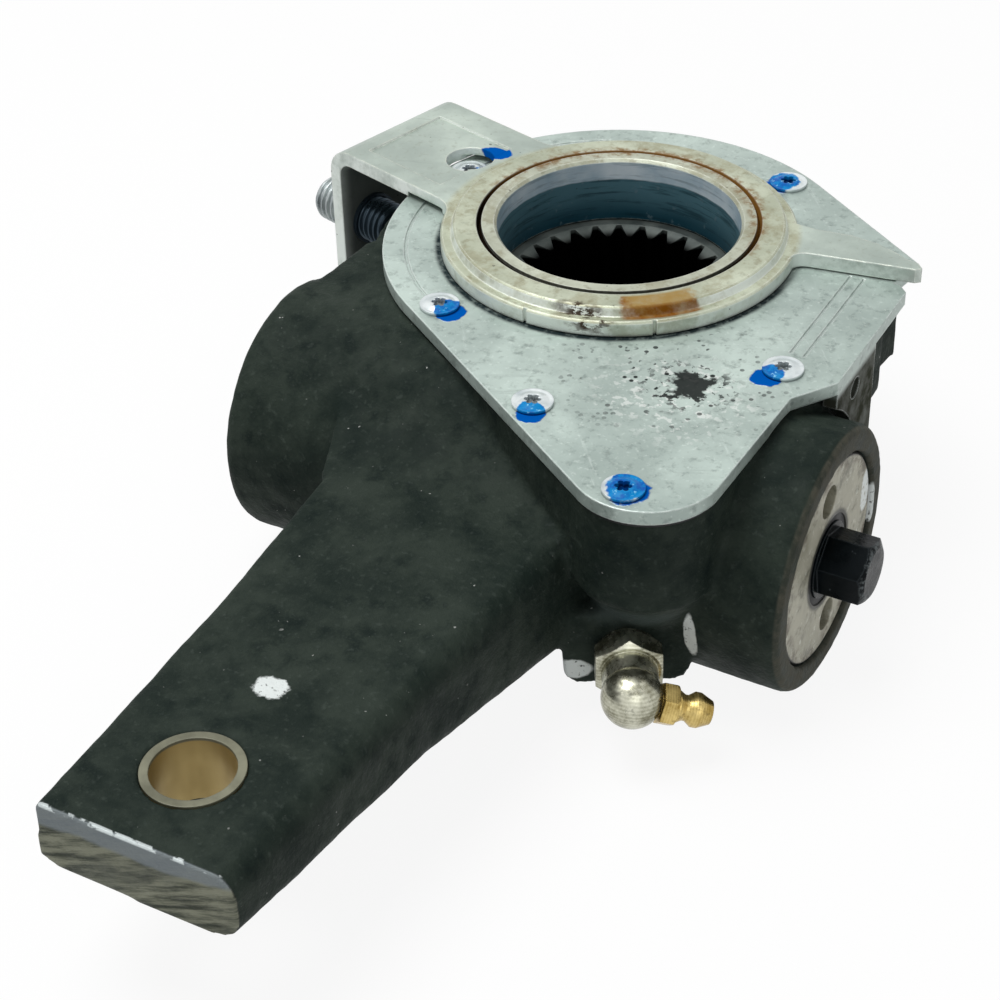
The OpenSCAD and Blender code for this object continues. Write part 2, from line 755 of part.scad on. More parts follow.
module rack_spring() {
    from = channel_end_y + rack_wire_r + stack_gap;
    to = rack_end_y - rack_wire_r - stack_gap;
    color("#5a5e61") translate([rack_x, to, rack_spring_z]) rotate([90, 0, 0])
        coil(rack_spring_r, rack_wire_r, (to - from) / rack_spring_turns, rack_spring_turns, 6, 12);
}

module control_disc() {
    groove = 0.45;
    color("#b9c0c2") difference() {
        rotate_extrude() polygon([
            [sleeve_in_r, sleeve_low], [sleeve_out_r, sleeve_low], [sleeve_out_r + 1.4, disc_low],
            [disc_r - 0.5, disc_low], [disc_r, disc_low + 0.5], [disc_r, disc_top], [sleeve_out_r, disc_top],
            [sleeve_out_r, sleeve_top - 1.2], [sleeve_out_r - groove, sleeve_top - 0.6],
            [sleeve_out_r - groove, sleeve_top], [sleeve_in_r + 0.6, sleeve_top],
            [sleeve_in_r, sleeve_top - 0.6]
        ]);
        translate([drive_r, 0, disc_low - 1]) cylinder(r = drive_pin_r + notch_play, h = disc_t + 2);
        translate([drive_r, -drive_pin_r - notch_play, disc_low - 1])
            cube([10, 2 * (drive_pin_r + notch_play), disc_t + 2]);
    }
}

module control_seal() {
    color("#1b1c1e") translate([0, 0, plate_low + 0.1]) ring(seal_r, sleeve_out_r + run_gap, plate_t - 0.2);
}

// Flat of the bracket with its root blends, in a frame whose X axis runs along the bracket
module bracket_flat() {
    near = bracket_half + bracket_shift;
    far = bracket_half - bracket_shift;
    corner = flange_out - bend_r;
    inner = ring_r - 5;
    linear_extrude(control_t) polygon(concat(
        mirrored(root_arc(far, 7)),
        [[corner, -far], [corner, near]],
        reversed(root_arc(near, 7)),
        arc([0, 0], inner, 36, -36, 9)
    ));
}

// Folded flange at the end of the bracket
module bracket_flange() {
    corner = flange_out - bend_r;
    low = flange_low - control_low;
    centre = [corner, control_t - bend_r];
    translate([0, bracket_shift + bracket_half, 0]) rotate([90, 0, 0]) linear_extrude(2 * bracket_half)
        polygon(concat(
            arc(centre, bend_r, 90, 0, 8),
            [[flange_out, low], [flange_out - control_t, low]],
            arc(centre, bend_r - control_t, 0, 90, 5)
        ));
}

module pointer() {
    near_angle = 9.55;
    near_t = 0.76;
    linear_extrude(control_t) polygon(concat(
        [[29, 2]],
        turned(mirrored(root_arc(-near_t, 3)), near_angle),
        [[57.4, 10.35], [58.4, 11.2], [57.1, 12.7], [54.6, 13.2], [51.6, 14.7], [47.6, 16.2], [42, 16.9]],
        [[34.6, 16.1], [28, 16.6]]
    ));
}

module control_arm() {
    bore = sleeve_out_r + run_gap;
    high = sleeve_top - control_low;
    color("#b8bdb6") translate([0, 0, control_low]) difference() {
        union() {
            rotate_extrude() polygon([
                [bore + 0.5, high], [bore, high - 1.2], [bore, 0], [ring_r, 0], [ring_r, control_t - 0.4],
                [ring_r - 0.4, control_t], [collar_r, control_t], [collar_r - 0.5, high - 0.3],
                [collar_r - 0.9, high]
            ]);
            rotate(bracket_angle) difference() {
                union() {
                    bracket_flat();
                    bracket_flange();
                }
                translate([screw_circle_r, 0, -1]) cylinder(r = bracket_hole_r, h = 20);
                translate([0, 0, -1])
                    ring(screw_circle_r + relief_half, screw_circle_r - relief_half, head_relief + 1);
                translate([38, -8.4, control_t - 0.4]) cube([flange_out - bend_r - 40, 20.4, 1]);
            }
            pointer();
        }
        rotate(bracket_angle) translate([0, stud_t, stud_z - control_low]) rotate([0, 90, 0])
            cylinder(d = stud_d + 2 * eps, h = 100);
        for (a = rim_marks) rotate(a) translate([ring_r - 0.5, -rim_mark_w / 2, -1])
            cube([2, rim_mark_w, control_t + 2]);
    }
}

module at_stud(d) {
    rotate(bracket_angle) translate([d, stud_t, stud_z]) rotate([0, 90, 0]) children();
}

module anchor_stud() {
    groove = 1;
    dome = 2.4;
    r = stud_d / 2;
    free = stud_in + control_t;
    length = free + stud_out;
    color("#8f979b") at_stud(flange_out - free) rotate_extrude() polygon(concat(
        [[0, 0], [r - 1, 0], [r, 1], [r, free], [r - 0.6, free], [r - 0.6, free + groove], [r, free + groove]],
        arc([r - dome, length - dome], dome, 0, 70, 5),
        [[0, length]]
    ));
}

module anchor_washer() {
    color("#9aa3a7") at_stud(flange_out - control_t - anchor_washer_t)
        ring(washer_r, stud_d / 2 + eps, anchor_washer_t);
}

module cover_gasket() {
    color("#191b1c") translate([0, 0, joint_z]) difference() {
        cover_outline(0.5, plate_right - tab_t - 1.5, gasket_t);
        translate([0, 0, -1]) cylinder(r = recess_r, h = 5);
        translate([rack_x - channel_half, channel_end_y, -1])
            cube([2 * channel_half, rack_top_y + rack_up + 1 - channel_end_y, 5]);
        at_cover_screws(-1) cylinder(d = screw_d, h = 5);
    }
}

module cover_plate() {
    tab_bend = 3.4;
    color("#aab3b1") difference() {
        union() {
            translate([0, 0, plate_low]) cover_outline(0, plate_right, plate_t);
            translate([0, tab_to_y, 0]) rotate([90, 0, 0]) linear_extrude(tab_to_y - tab_from_y) polygon(concat(
                [[plate_right - tab_bend, plate_low + 0.5]],
                [[plate_right - 0.5, plate_low + 0.5]],
                [[plate_right, plate_low]],
                [[plate_right, plate_low - tab_drop + 2], [plate_right - tab_t, plate_low - tab_drop + 2]],
                arc([plate_right - tab_bend, plate_low - (tab_bend - tab_t)], tab_bend - tab_t, 0, 90, 4)
            ));
        }
        translate([0, 0, plate_low - 1]) cylinder(r = seal_r + run_gap, h = plate_t + 2);
        at_cover_screws(plate_low - 1) cylinder(d = screw_d, h = plate_t + 2);
        intersection() {
            translate([0, 0, plate_top - 0.3]) ring(42.2, 41.6, 1);
            translate([-100, -100, plate_top - 1]) cube([80, 200, 3]);
        }
        translate([45.3, -22, plate_top - 0.3]) cube([0.5, 30, 1]);
        translate([48, -22, plate_top - 0.3]) cube([0.5, 30, 1]);
        along_worm() cylinder(r = barrel_r + 1.2, h = 100);
        translate([plate_right - 10, tab_hole_y, plate_top - 6.7]) rotate([0, 90, 0])
            cylinder(r = tab_hole_r, h = 20);
    }
}

module cover_screws() {
    recess_r6 = 1.55;
    color("#d5dadb") at_cover_screws(plate_top) difference() {
        rotate_extrude() polygon([
            [0, -screw_len], [screw_d / 2 - 0.6, -screw_len], [screw_d / 2 - eps, -screw_len + 0.6],
            [screw_d / 2 - eps, 0], [screw_head_d / 2, 0], [screw_head_d / 2, 0.7],
            [screw_head_d / 2 - 0.7, screw_head_h - 0.4], [screw_head_d / 2 - 1.8, screw_head_h],
            [0, screw_head_h]
        ]);
        translate([0, 0, screw_head_h - 1.2]) cylinder(r = recess_r6 - 0.5, h = 3);
        for (i = [0:5]) rotate(60 * i + 20)
            translate([recess_r6 - 0.5, 0, screw_head_h - 1.2]) cylinder(r = 0.5, h = 3);
    }
}

module grease_elbow() {
    hex_h = 4.6;
    collar_h = 1.4;
    neck_from = collar_h + hex_h - 1;
    color("#a3a294") at_grease_pad() difference() {
        union() {
            translate([0, 0, -grease_thread_len])
                cylinder(r = grease_thread_r - eps, h = grease_thread_len + 1);
            cylinder(r = elbow_af / 2 - 0.4, h = collar_h);
            translate([0, 0, collar_h]) intersection() {
                rotate(30) cylinder(r = elbow_af / sqrt(3), h = hex_h, $fn = 6);
                rotate_extrude() polygon([
                    [0, 0], [elbow_af / 2, 0], [elbow_af / sqrt(3), 0.6], [elbow_af / sqrt(3), hex_h - 0.8],
                    [elbow_af / 2 - 0.3, hex_h], [0, hex_h]
                ]);
            }
            translate([0, 0, neck_from]) cylinder(r = elbow_ball_r - 0.5, h = elbow_reach - neck_from);
            translate([0, 0, elbow_reach]) sphere(r = elbow_ball_r);
        }
        translate([0, 0, -grease_thread_len - 1]) cylinder(r = 1.5, h = grease_thread_len + elbow_reach + 1);
        translate([0, 0, elbow_reach]) rotate([0, 90, 0]) rotate([nipple_tilt, 0, 0])
            cylinder(r = nipple_thread_r, h = 20);
    }
}

module grease_nipple() {
    base = nipple_base;
    color("#b59a50") at_nipple() difference() {
        union() {
            translate([0, 0, 1.8]) cylinder(r = nipple_thread_r - eps, h = base);
            translate([0, 0, base]) intersection() {
                rotate(15) cylinder(r = nipple_af / sqrt(3), h = 2.8, $fn = 6);
                cylinder(r1 = nipple_af / 2 + 2, r2 = nipple_af / 2 + 0.2, h = 2.8);
            }
            translate([0, 0, base + 2.8]) rotate_extrude() polygon([
                [0, -1], [2.9, -1], [2.9, 0.6], [2.35, 1.6], [2.35, 2.2], [3.2, 3.4], [3.2, 4.4],
                [2.2, 6.6], [0, 6.6]
            ]);
        }
        cylinder(r = 0.8, h = 40);
        translate([0, 0, 3]) cylinder(r = 1.35, h = base + 5.4);
    }
}

module nipple_ball() {
    color("#c9ccce") at_nipple() translate([0, 0, nipple_base + 6.9]) sphere(r = 1.25);
}

housing();
clevis_bush();
worm_wheel();
hub_seal();
worm_shaft();
thrust_race();
thrust_balls();
pressure_plate();
main_spring();
spring_seat();
coupling_ring();
clutch_hub();
clutch_spring();
adjusting_pinion();
pinion_washer();
worm_cover();
worm_cover_seal();
shaft_seal();
rack();
rack_spring();
control_disc();
control_seal();
control_arm();
anchor_stud();
anchor_washer();
cover_gasket();
cover_plate();
cover_screws();
grease_elbow();
grease_nipple();
nipple_ball();
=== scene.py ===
"""Looks of the brake slack adjuster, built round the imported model."""
import math

import bmesh
import bpy
import numpy as np
from mathutils import Matrix, Vector, noise


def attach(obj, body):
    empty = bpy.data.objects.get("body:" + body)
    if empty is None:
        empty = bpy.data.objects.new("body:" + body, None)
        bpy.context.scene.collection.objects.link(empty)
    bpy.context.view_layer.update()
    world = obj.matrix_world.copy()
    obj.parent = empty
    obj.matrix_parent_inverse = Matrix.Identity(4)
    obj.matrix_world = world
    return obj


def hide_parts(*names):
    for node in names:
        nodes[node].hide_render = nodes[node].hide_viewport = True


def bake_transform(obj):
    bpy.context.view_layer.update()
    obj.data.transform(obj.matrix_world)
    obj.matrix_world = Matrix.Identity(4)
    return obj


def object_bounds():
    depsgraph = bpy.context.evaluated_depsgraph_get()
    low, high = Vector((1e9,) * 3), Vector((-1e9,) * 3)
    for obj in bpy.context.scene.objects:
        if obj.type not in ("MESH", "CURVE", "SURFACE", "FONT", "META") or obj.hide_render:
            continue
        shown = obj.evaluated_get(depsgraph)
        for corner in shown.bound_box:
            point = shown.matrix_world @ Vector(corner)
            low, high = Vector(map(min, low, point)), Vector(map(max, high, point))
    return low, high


MM = 0.001
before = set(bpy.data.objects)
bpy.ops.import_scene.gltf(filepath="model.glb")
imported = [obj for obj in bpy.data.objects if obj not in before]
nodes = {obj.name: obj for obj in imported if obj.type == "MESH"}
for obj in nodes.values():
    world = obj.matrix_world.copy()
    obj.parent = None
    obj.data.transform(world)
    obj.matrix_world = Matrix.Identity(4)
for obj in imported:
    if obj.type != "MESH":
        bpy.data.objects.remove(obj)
cad_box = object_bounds()
scene = bpy.context.scene

# Places, in millimetres in the model's frame. The camshaft's axis is Z, the worm's axis is along X.
WORM_Y = -40.5
CLEVIS_Y = -150
PLATE_TOP = 28.9
SCREWS = [(20.94, 35.83), (-39.89, 11.44), (-19.74, -36.51), (11.1, -57.4), (36.8, -73.4), (46.6, -27.9)]

# Paint dabs on the screws: how far each is off its screw, and its radius
PAINT_SHIFT = [(-0.9, -0.5), (2.0, -1.0), (2.8, -0.9), (1.2, -3.2), (0.6, 0.2), (-1.7, -3.4)]
PAINT_RADIUS = [3.5, 2.2, 2.9, 2.7, 3.9, 3.1]
PAINT_REACH = 9

# White dabs on the casting: centre, radii, softness, raggedness and grain, as spot() takes them
CASTING_DABS = [
    ((0.5, -128.5, 13.8), (2.8, 2.6, 3), 0.12, 0.55, 420),
    ((46.4, -65.0, -6.2), (1.2, 3.6, 6.2), 0.12, 0.3, 300),
    ((27.6, -74.0, -14.2), (3.2, 3.2, 2.2), 0.12, 0.3, 300),
    ((62.8, -20.4, -0.6), (1.6, 1.3, 4.6), 0.12, 0.35, 300),
]

# Colours, here and below, are display colours from 0 to 255
BLUE = (2, 82, 166)
BLUE_LIGHT = (6, 126, 190)
WHITE_PAINT = (214, 220, 218)
SOOT = (30, 32, 32)

# Where the values of a noise mostly lie
NOISE_LOW, NOISE_HIGH = 0.3, 0.7

# Rounded edges: samples, and the cosines of the normal's turn between which an edge fades in
BEVEL_SAMPLES = 6
EDGE_NONE, EDGE_FULL = 0.99, 0.93

# The Mix node's colour sockets
MIX_A, MIX_B, MIX_RESULT = 6, 7, 2


def srgb(red, green, blue):
    """Linear colour of a display colour given in 0 to 255."""
    def linear(level):
        level /= 255
        return level / 12.92 if level <= 0.04045 else ((level + 0.055) / 1.055) ** 2.4
    return (linear(red), linear(green), linear(blue), 1.0)


class Surface:
    """A material in the making: helpers add nodes and give the socket of their result, lay() paints."""

    def __init__(self, name, metallic=0.0, roughness=0.5, specular=0.5):
        self.material = bpy.data.materials.new(name)
        self.material.use_nodes = True
        self.tree = self.material.node_tree
        self.tree.nodes.clear()
        output = self.add("OutputMaterial")
        self.shader = self.add("BsdfPrincipled")
        self.shader.inputs["Metallic"].default_value = metallic
        self.shader.inputs["Roughness"].default_value = roughness
        self.shader.inputs["Specular IOR Level"].default_value = specular
        self.tree.links.new(self.shader.outputs["BSDF"], output.inputs["Surface"])
        self.place = self.add("TexCoord").outputs["Object"]
        self.normal = None
        self.colour = None

    def add(self, kind):
        return self.tree.nodes.new("ShaderNode" + kind)

    def feed(self, socket, value):
        if isinstance(value, bpy.types.NodeSocket):
            self.tree.links.new(value, socket)
        elif value is not None:
            socket.default_value = value

    def calc(self, operation, a, b=None, c=None):
        node = self.add("Math")
        node.operation = operation
        for socket, value in zip(node.inputs, (a, b, c)):
            self.feed(socket, value)
        return node.outputs[0]

    def vector(self, operation, a, b=None):
        node = self.add("VectorMath")
        node.operation = operation
        for socket, value in zip(node.inputs, (a, b)):
            self.feed(socket, value)
        return node.outputs["Value" if operation in ("LENGTH", "DOT_PRODUCT") else "Vector"]

    def axes(self, vector=None):
        """The x, y and z of a vector, or of the place."""
        node = self.add("SeparateXYZ")
        self.feed(node.inputs[0], vector or self.place)
        return tuple(node.outputs)

    def geometry(self, name):
        return self.add("NewGeometry").outputs[name]

    def length(self, a, b):
        node = self.add("CombineXYZ")
        self.feed(node.inputs[0], a)
        self.feed(node.inputs[1], b)
        return self.vector("LENGTH", node.outputs[0])

    def from_camshaft(self):
        """Distance from the camshaft's axis, in metres."""
        x, y, _ = self.axes()
        return self.length(x, y)

    def from_worm(self):
        """Distance from the worm's axis, in metres."""
        _, y, z = self.axes()
        return self.length(self.calc("SUBTRACT", y, WORM_Y * MM), z)

    def span(self, value, low, high, to_low=0.0, to_high=1.0):
        """Smooth step from to_low to to_high while the value goes from low to high."""
        node = self.add("MapRange")
        node.interpolation_type = "SMOOTHSTEP"
        for socket, item in zip(node.inputs, (value, low, high, to_low, to_high)):
            self.feed(socket, item)
        return node.outputs[0]

    def ramp(self, distance, low, high, to_low=0.0, to_high=1.0):
        """span() of a distance, with low and high in millimetres."""
        return self.span(distance, low * MM, high * MM, to_low, to_high)

    def spread(self, pattern, to_low=0.0, to_high=1.0):
        """span() of a noise over its usual range."""
        return self.span(pattern, NOISE_LOW, NOISE_HIGH, to_low, to_high)

    def noise(self, scale, detail=3.0, rough=0.5, place=None):
        node = self.add("TexNoise")
        self.feed(node.inputs["Vector"], place or self.place)
        node.inputs["Scale"].default_value = scale
        node.inputs["Detail"].default_value = detail
        node.inputs["Roughness"].default_value = rough
        return node.outputs[0]

    def cells(self, scale):
        node = self.add("TexVoronoi")
        self.feed(node.inputs["Vector"], self.place)
        node.inputs["Scale"].default_value = scale
        return node.outputs["Distance"]

    def stretched(self, scale, turn=(0, 0, 0)):
        """The place with its axes turned by degrees, then scaled: a pattern is finer where scale is higher."""
        node = self.add("Mapping")
        self.feed(node.inputs["Vector"], self.place)
        node.vector_type = "TEXTURE"
        node.inputs["Rotation"].default_value = [math.radians(a) for a in turn]
        node.inputs["Scale"].default_value = [1 / v for v in scale]
        return node.outputs[0]

    def spot(self, centre, radii, soft, wobble, grain):
        """Mask of a ragged patch; centre and radii in millimetres."""
        offset = self.vector("SUBTRACT", self.place, [v * MM for v in centre])
        ratio = self.vector("DIVIDE", offset, [v * MM for v in radii])
        far = self.vector("LENGTH", ratio)
        ragged = self.calc("MULTIPLY_ADD", self.noise(grain, 4, 0.6), 2 * wobble, -wobble)
        return self.span(self.calc("ADD", far, ragged), 1 + soft, 1 - soft)

    def either(self, *masks):
        result = masks[0]
        for mask in masks[1:]:
            result = self.calc("MAXIMUM", result, mask)
        return result

    def every(self, *masks):
        """Product of masks and weights."""
        result = masks[0]
        for mask in masks[1:]:
            result = self.calc("MULTIPLY", result, mask)
        return result

    def outside(self, *masks):
        return self.calc("SUBTRACT", 1.0, self.either(*masks))

    def round_edges(self, radius):
        node = self.add("Bevel")
        node.samples = BEVEL_SAMPLES
        node.inputs["Radius"].default_value = radius * MM
        self.normal = node.outputs[0]

    def edges(self):
        """Mask of the edges that round_edges has rounded; comes before any bump."""
        turn = self.vector("DOT_PRODUCT", self.normal, self.geometry("Normal"))
        return self.span(turn, EDGE_NONE, EDGE_FULL)

    def mix(self, factor, a, b):
        """Mixes two colours, each a socket or a display colour."""
        node = self.add("Mix")
        node.data_type = "RGBA"
        self.feed(node.inputs[0], factor)
        for index, colour in ((MIX_A, a), (MIX_B, b)):
            linked = isinstance(colour, bpy.types.NodeSocket)
            self.feed(node.inputs[index], colour if linked else srgb(*colour))
        return node.outputs[MIX_RESULT]

    def base(self, pattern, dark, light):
        """Starts the colour with a pattern of two shades."""
        self.colour = self.mix(self.spread(pattern), dark, light)

    def lay(self, mask, colour, weight=None):
        """Paints over the colour so far, where the mask is."""
        factor = mask if weight is None else self.every(mask, weight)
        self.colour = self.mix(factor, self.colour, colour)

    def bump(self, height, distance):
        """Adds relief of the given depth in millimetres."""
        node = self.add("Bump")
        node.inputs["Strength"].default_value = 1.0
        node.inputs["Distance"].default_value = distance * MM
        self.feed(node.inputs["Height"], height)
        self.feed(node.inputs["Normal"], self.normal)
        self.normal = node.outputs[0]

    def done(self, roughness=None, metallic=None, specular=None):
        self.feed(self.shader.inputs["Base Color"], self.colour)
        self.feed(self.shader.inputs["Roughness"], roughness)
        self.feed(self.shader.inputs["Metallic"], metallic)
        self.feed(self.shader.inputs["Specular IOR Level"], specular)
        self.feed(self.shader.inputs["Normal"], self.normal)
        return self.material


def blue_paint(surface):
    """Mask of the paint dabs on the cover screws."""
    dabs = []
    for (x, y), (dx, dy), radius in zip(SCREWS, PAINT_SHIFT, PAINT_RADIUS):
        centre = (x + dx, y + dy, PLATE_TOP)
        dabs.append(surface.spot(centre, (radius, radius, PAINT_REACH), 0.06, 0.42, 260))
    return surface.either(*dabs)


def scratches(surface, turn):
    """Thin lines along one direction, in degrees."""
    place = surface.stretched((1, 14, 1), (0, 0, turn))
    return surface.span(surface.noise(30, 6, 0.75, place), 0.6, 0.72)


def sleeve_groove(surface):
    """Paints the groove between sleeve and ring, dark in front and brown behind, and gives its mask."""
    _, y, z = surface.axes()
    far = surface.from_camshaft()
    groove = surface.every(
        surface.ramp(far, 26.8, 27.0), surface.ramp(far, 28.1, 27.8), surface.ramp(z, 32.2, 32.6)
    )
    surface.lay(groove, surface.mix(surface.ramp(y, -8, 16), (24, 18, 12), (118, 84, 40)))
    return groove


def casting():
    """Dark cast iron with worn corners, white dabs and a sawn lever end."""
    s = Surface("cast_iron", specular=0.06)
    x, y, z = s.axes()
    mottle = s.noise(55, 6, 0.72)
    blotch = s.noise(200, 5, 0.72)
    grain = s.noise(800, 3, 0.6)
    s.colour = s.mix(s.span(mottle, 0.36, 0.64), (24, 33, 29), (44, 52, 46))
    s.lay(s.span(blotch, 0.5, 0.7), (12, 22, 21), 0.75)
    s.lay(s.span(grain, 0.54, 0.76), (74, 82, 76), 0.35)
    worn = s.span(s.geometry("Pointiness"), 0.53, 0.6)
    s.lay(s.every(worn, s.span(blotch, 0.3, 0.6, 0.1, 0.6)), (92, 97, 92))
    ledge = s.spot((37.5, -71, -0.5), (8, 4, 4), 0.5, 0.4, 120)
    s.lay(ledge, (72, 82, 80), 0.7)
    specks = s.every(s.span(s.noise(1000, 1, 0.4), 0.775, 0.8), s.span(s.noise(90, 2, 0.5), 0.46, 0.62))
    s.lay(specks, (170, 172, 168), 0.8)
    barrel_rim = s.every(s.ramp(x, 61.9, 62.4), s.ramp(s.from_worm(), 19.0, 19.4))
    s.lay(s.every(barrel_rim, s.span(blotch, 0.35, 0.65, 0.2, 0.75)), (82, 80, 70))
    # The sawn end: slanting saw marks under a bright upper strip
    sawn = s.ramp(y, -166.8, -167.1)
    saw = s.noise(100, 5, 0.65, s.stretched((0.8, 1, 7), (0, -24, 0)))
    drift = s.noise(70, 3, 0.6)
    bare = s.mix(s.span(saw, 0.36, 0.62), (60, 64, 56), (128, 130, 114))
    bare = s.mix(s.every(s.span(drift, 0.45, 0.65), 0.5), bare, (84, 88, 82))
    slope = s.calc("MULTIPLY_ADD", x, -0.05, z)
    slope = s.calc("MULTIPLY_ADD", drift, 4 * MM, slope)
    bare = s.mix(s.every(s.ramp(slope, 11.2, 12.2), 0.85), bare, (118, 126, 130))
    s.lay(sawn, bare)
    corner = s.every(s.ramp(y, -166.6, -166.9), s.ramp(z, 12.9, 13.2))
    s.lay(s.every(corner, s.span(s.noise(160, 4, 0.7), 0.44, 0.5)), (200, 208, 208))
    dabs = s.either(*(s.spot(*dab) for dab in CASTING_DABS))
    s.lay(s.every(dabs, s.span(s.noise(1100, 3, 0.6), 0.3, 0.42)), WHITE_PAINT)
    s.bump(grain, 0.22)
    s.bump(s.noise(2600, 2, 0.5), 0.06)
    s.bump(s.every(saw, sawn), 0.5)
    return s.done(s.spread(blotch, 0.5, 0.7), s.every(sawn, 0.3))


def zinc_plate():
    """The cover plate: scratched zinc with a chipped sooty patch, painted shadow under the ring, painted shade
    on the folded tab, painted highlights on its edges, and paint round the screws.
    """
    s = Surface("zinc_plate", metallic=0.5, roughness=0.42)
    s.round_edges(0.5)
    x, y, z = s.axes()
    cloud = s.noise(45, 5, 0.6)
    grit = s.noise(380, 4, 0.7)
    fine = s.noise(900, 3, 0.6)
    s.base(cloud, (152, 166, 160), (184, 198, 191))
    s.lay(scratches(s, 28), (120, 132, 128), 0.4)
    s.lay(scratches(s, -50), (214, 224, 219), 0.35)
    s.lay(s.span(grit, 0.5, 0.7), (112, 124, 119), 0.6)
    s.lay(s.span(fine, 0.56, 0.72), (214, 225, 219), 0.35)
    # Painted shadow under the ring's front edge
    under = s.every(s.ramp(s.from_camshaft(), 36.7, 35.6), s.ramp(y, 12, -6))
    under = s.every(under, s.span(grit, 0.3, 0.55, 0.7, 1.0))
    s.lay(under, (34, 44, 46))
    # The chipped and sooty patch
    chipped = s.spot((33, -44, PLATE_TOP), (13, 11, 9), 0.5, 0.6, 150)
    s.lay(s.every(chipped, s.span(s.noise(520, 3, 0.6), 0.55, 0.6)), (214, 218, 214), 0.7)
    patch = s.spot((33.4, -39.6, PLATE_TOP), (3.9, 3.7, 20), 0.12, 1.0, 300)
    halo = s.spot((33.4, -40.5, PLATE_TOP), (8.5, 7.5, 20), 0.4, 0.4, 200)
    halo = s.every(halo, s.span(s.noise(480, 3, 0.7), 0.55, 0.6))
    specks = s.every(s.span(s.cells(560), 0.3, 0.24), s.span(s.noise(260, 2, 0.5), 0.5, 0.56))
    specks = s.every(specks, s.spot((30, -38, PLATE_TOP), (19, 17, 20), 0.6, 0.3, 90))
    soot = s.either(patch, specks, halo)
    s.lay(soot, SOOT, 0.95)
    # The folded tab, darkened with painted shade where it faces away from the light
    tab = s.every(s.ramp(x, 53.5, 54.2), s.ramp(z, 26.5, 24.5))
    tab_shade = s.every(tab, s.span(s.noise(160, 4, 0.7), 0.2, 0.6, 0.86, 1.0))
    s.lay(tab_shade, (62, 64, 55))
    # Painted highlights along the rounded edges
    s.lay(s.every(s.edges(), s.span(grit, 0.35, 0.6, 0.1, 0.7)), (226, 234, 230))
    paint = blue_paint(s)
    s.lay(paint, BLUE)
    s.bump(fine, 0.03)
    s.bump(paint, 0.15)
    metal = s.every(s.outside(soot, paint, tab_shade, under), 0.5)
    return s.done(s.spread(cloud, 0.36, 0.5), metal, metal)


def zinc_arm():
    """The control arm: grey zinc, warmer and stained on its ring, with rust, chips, painted highlights on its
    cut edges and upright sides, and painted shade inside the flange.
    """
    s = Surface("zinc_arm", metallic=0.45, roughness=0.42)
    s.round_edges(0.5)
    x, y, z = s.axes()
    far = s.from_camshaft()
    cloud = s.noise(55, 5, 0.6)
    grit = s.noise(380, 4, 0.7)
    fine = s.noise(900, 3, 0.6)
    ring = s.ramp(far, 36.2, 34.5)
    s.base(cloud, (154, 166, 158), (184, 196, 186))
    s.lay(ring, s.mix(s.spread(cloud), (158, 164, 142), (192, 198, 178)))
    s.lay(scratches(s, 16.5), (118, 128, 122), 0.4)
    s.lay(s.span(fine, 0.55, 0.75), (126, 130, 114), 0.35)
    s.lay(s.every(s.span(s.noise(130, 5, 0.7), 0.46, 0.62), ring), (136, 130, 98), 0.5)
    s.lay(s.every(s.span(grit, 0.5, 0.7), ring), (118, 112, 82), 0.5)
    # Painted highlights along the rounded edges
    s.lay(s.every(s.edges(), s.span(grit, 0.35, 0.6, 0.1, 0.8)), (228, 232, 218))
    # Painted highlight on the upright sides, such as the ring's outer rim
    facing_up = s.axes(s.geometry("Normal"))[2]
    upright = s.span(s.calc("ABSOLUTE", facing_up), 0.6, 0.3)
    s.lay(s.every(upright, s.span(s.noise(110, 5, 0.7), 0.36, 0.6, 0.2, 0.85)), (224, 231, 226))
    s.lay(s.span(s.noise(700, 2, 0.5), 0.75, 0.77), (50, 46, 38), 0.7)
    # Rust: a patch in front with a dark lower border, and a bleed along the groove at the back
    ragged = s.calc("MULTIPLY_ADD", s.noise(240, 4, 0.7), 0.2, -0.1)
    angle = s.calc("ADD", s.calc("ARCTAN2", y, x), ragged)
    patch = s.every(
        s.span(angle, -1.13, -1.08), s.span(angle, -0.62, -0.68), s.ramp(z, 31.6, 32.1),
        s.ramp(far, 28.2, 29.0), s.ramp(far, 34.2, 33.8),
        s.span(s.noise(180, 4, 0.7), 0.25, 0.6, 0.65, 1.0),
    )
    border = s.either(s.ramp(far, 31.8, 32.6), s.span(angle, -1.02, -1.1))
    border = s.every(border, s.span(grit, 0.3, 0.6, 0.5, 1.0))
    s.lay(patch, s.mix(border, (154, 128, 78), (124, 76, 20)))
    bleed = s.every(s.ramp(far, 30.0, 28.0), s.ramp(y, -12, 12), s.span(grit, 0.42, 0.62, 0.0, 0.8))
    s.lay(bleed, (122, 88, 40))
    flakes = s.noise(260, 5, 0.75, s.stretched((1, 2.2, 2.2), (0, 0, 16)))
    chips = s.every(s.spot((9.0, -32.6, 32.5), (5.2, 1.9, 4), 0.4, 0.8, 380), s.span(flakes, 0.49, 0.53))
    s.lay(chips, (52, 34, 16), 0.95)
    groove = sleeve_groove(s)
    # Paint that ran over the bracket, which ends at the ring, and painted shade on the inside of the folded
    # flange
    paint = s.every(s.spot((-36.2, 16.0, 32.0), (3.7, 2.5, 3), 0.06, 0.4, 260), s.ramp(far, 34.8, 35.2))
    s.lay(paint, BLUE)
    # Painted shade inside the folded flange
    inside = s.every(s.ramp(far, 48, 52), s.ramp(far, 66.8, 65.5), s.ramp(z, 28.8, 26.2))
    s.lay(inside, (46, 52, 50), 0.92)
    s.bump(fine, 0.03)
    metal = s.every(s.outside(patch, bleed, chips, groove, paint, inside), 0.45)
    return s.done(s.spread(cloud, 0.34, 0.5), metal, metal)


